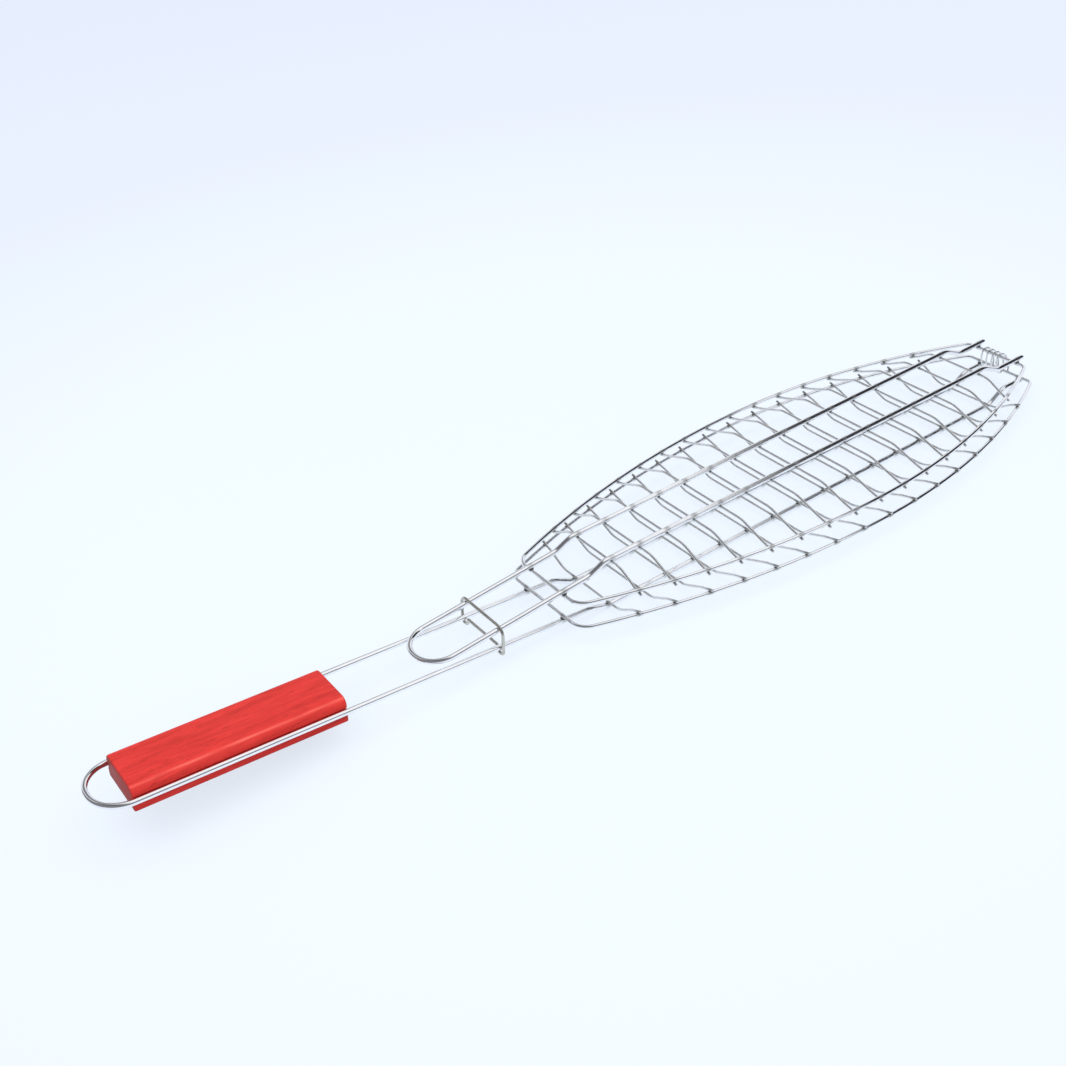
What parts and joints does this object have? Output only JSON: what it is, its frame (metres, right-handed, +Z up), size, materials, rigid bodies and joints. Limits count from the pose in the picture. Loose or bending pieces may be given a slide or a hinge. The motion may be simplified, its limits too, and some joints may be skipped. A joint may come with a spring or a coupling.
{
  "type": "grill basket",
  "caption": "Hinged wire grill basket: two shallow leaf-shaped halves of cross wires that open on a coil at the tip, a long wire handle with a wooden grip, and a sliding latch.",
  "frame": {"origin": "bottom centre of the bounding box, on the surface that the closed basket stands on", "axes": "+X from the handle to the tip of the basket, +Y across it, +Z up through the two halves"},
  "size_m": [0.6552, 0.1478, 0.0405],
  "materials": {
    "chrome_wire": "bright plated steel wire",
    "coil_wire": "plated spring wire",
    "latch_wire": "duller plated wire",
    "stained_wood": "red stained and lacquered"
  },
  "bodies": {
    "lower_basket": {"handle_loop": "chrome_wire", "handle_leg_left": "chrome_wire", "handle_leg_right": "chrome_wire", "lower_stringer_left": "chrome_wire", "lower_stringer_right": "chrome_wire", "lower_tip_left": "chrome_wire", "lower_tip_right": "chrome_wire", "handle_grip": "stained_wood", "lower_rim": "chrome_wire", "lower_cross_wire_01": "chrome_wire", "lower_cross_wire_02": "chrome_wire", "lower_cross_wire_03": "chrome_wire", "lower_cross_wire_04": "chrome_wire", "lower_cross_wire_05": "chrome_wire", "lower_cross_wire_06": "chrome_wire", "lower_cross_wire_07": "chrome_wire", "lower_cross_wire_08": "chrome_wire", "lower_cross_wire_09": "chrome_wire", "lower_cross_wire_10": "chrome_wire", "lower_cross_wire_11": "chrome_wire", "lower_cross_wire_12": "chrome_wire", "lower_cross_wire_13": "chrome_wire", "lower_cross_wire_14": "chrome_wire", "lower_cross_wire_15": "chrome_wire", "lower_cross_wire_16": "chrome_wire"},
    "hinge_coil": {"hinge_coil": "coil_wire"},
    "upper_basket": {"upper_neck": "chrome_wire", "upper_stringer_left": "chrome_wire", "upper_stringer_right": "chrome_wire", "upper_tip_left": "chrome_wire", "upper_tip_right": "chrome_wire", "upper_rim": "chrome_wire", "upper_cross_wire_01": "chrome_wire", "upper_cross_wire_02": "chrome_wire", "upper_cross_wire_03": "chrome_wire", "upper_cross_wire_04": "chrome_wire", "upper_cross_wire_05": "chrome_wire", "upper_cross_wire_06": "chrome_wire", "upper_cross_wire_07": "chrome_wire", "upper_cross_wire_08": "chrome_wire", "upper_cross_wire_09": "chrome_wire", "upper_cross_wire_10": "chrome_wire", "upper_cross_wire_11": "chrome_wire", "upper_cross_wire_12": "chrome_wire", "upper_cross_wire_13": "chrome_wire", "upper_cross_wire_14": "chrome_wire", "upper_cross_wire_15": "chrome_wire", "upper_cross_wire_16": "chrome_wire"},
    "latch": {"latch_slider": "latch_wire"}
  },
  "joints": [
    {"name": "coil_turn", "type": "hinge", "parent": "lower_basket", "child": "hinge_coil", "pos_m": [0.32387, 0, 0.0115], "axis": [0, 1, 0], "range_deg": [0, 90]},
    {"name": "basket_open", "type": "hinge", "parent": "hinge_coil", "child": "upper_basket", "pos_m": [0.31987, 0, 0.0235], "axis": [0, 1, 0], "range_deg": [0, 180]},
    {"name": "latch_slide", "type": "slide", "parent": "lower_basket", "child": "latch", "axis": [-0.9954, 0, 0.0958], "range_m": [0, 0.0925]}
  ]
}
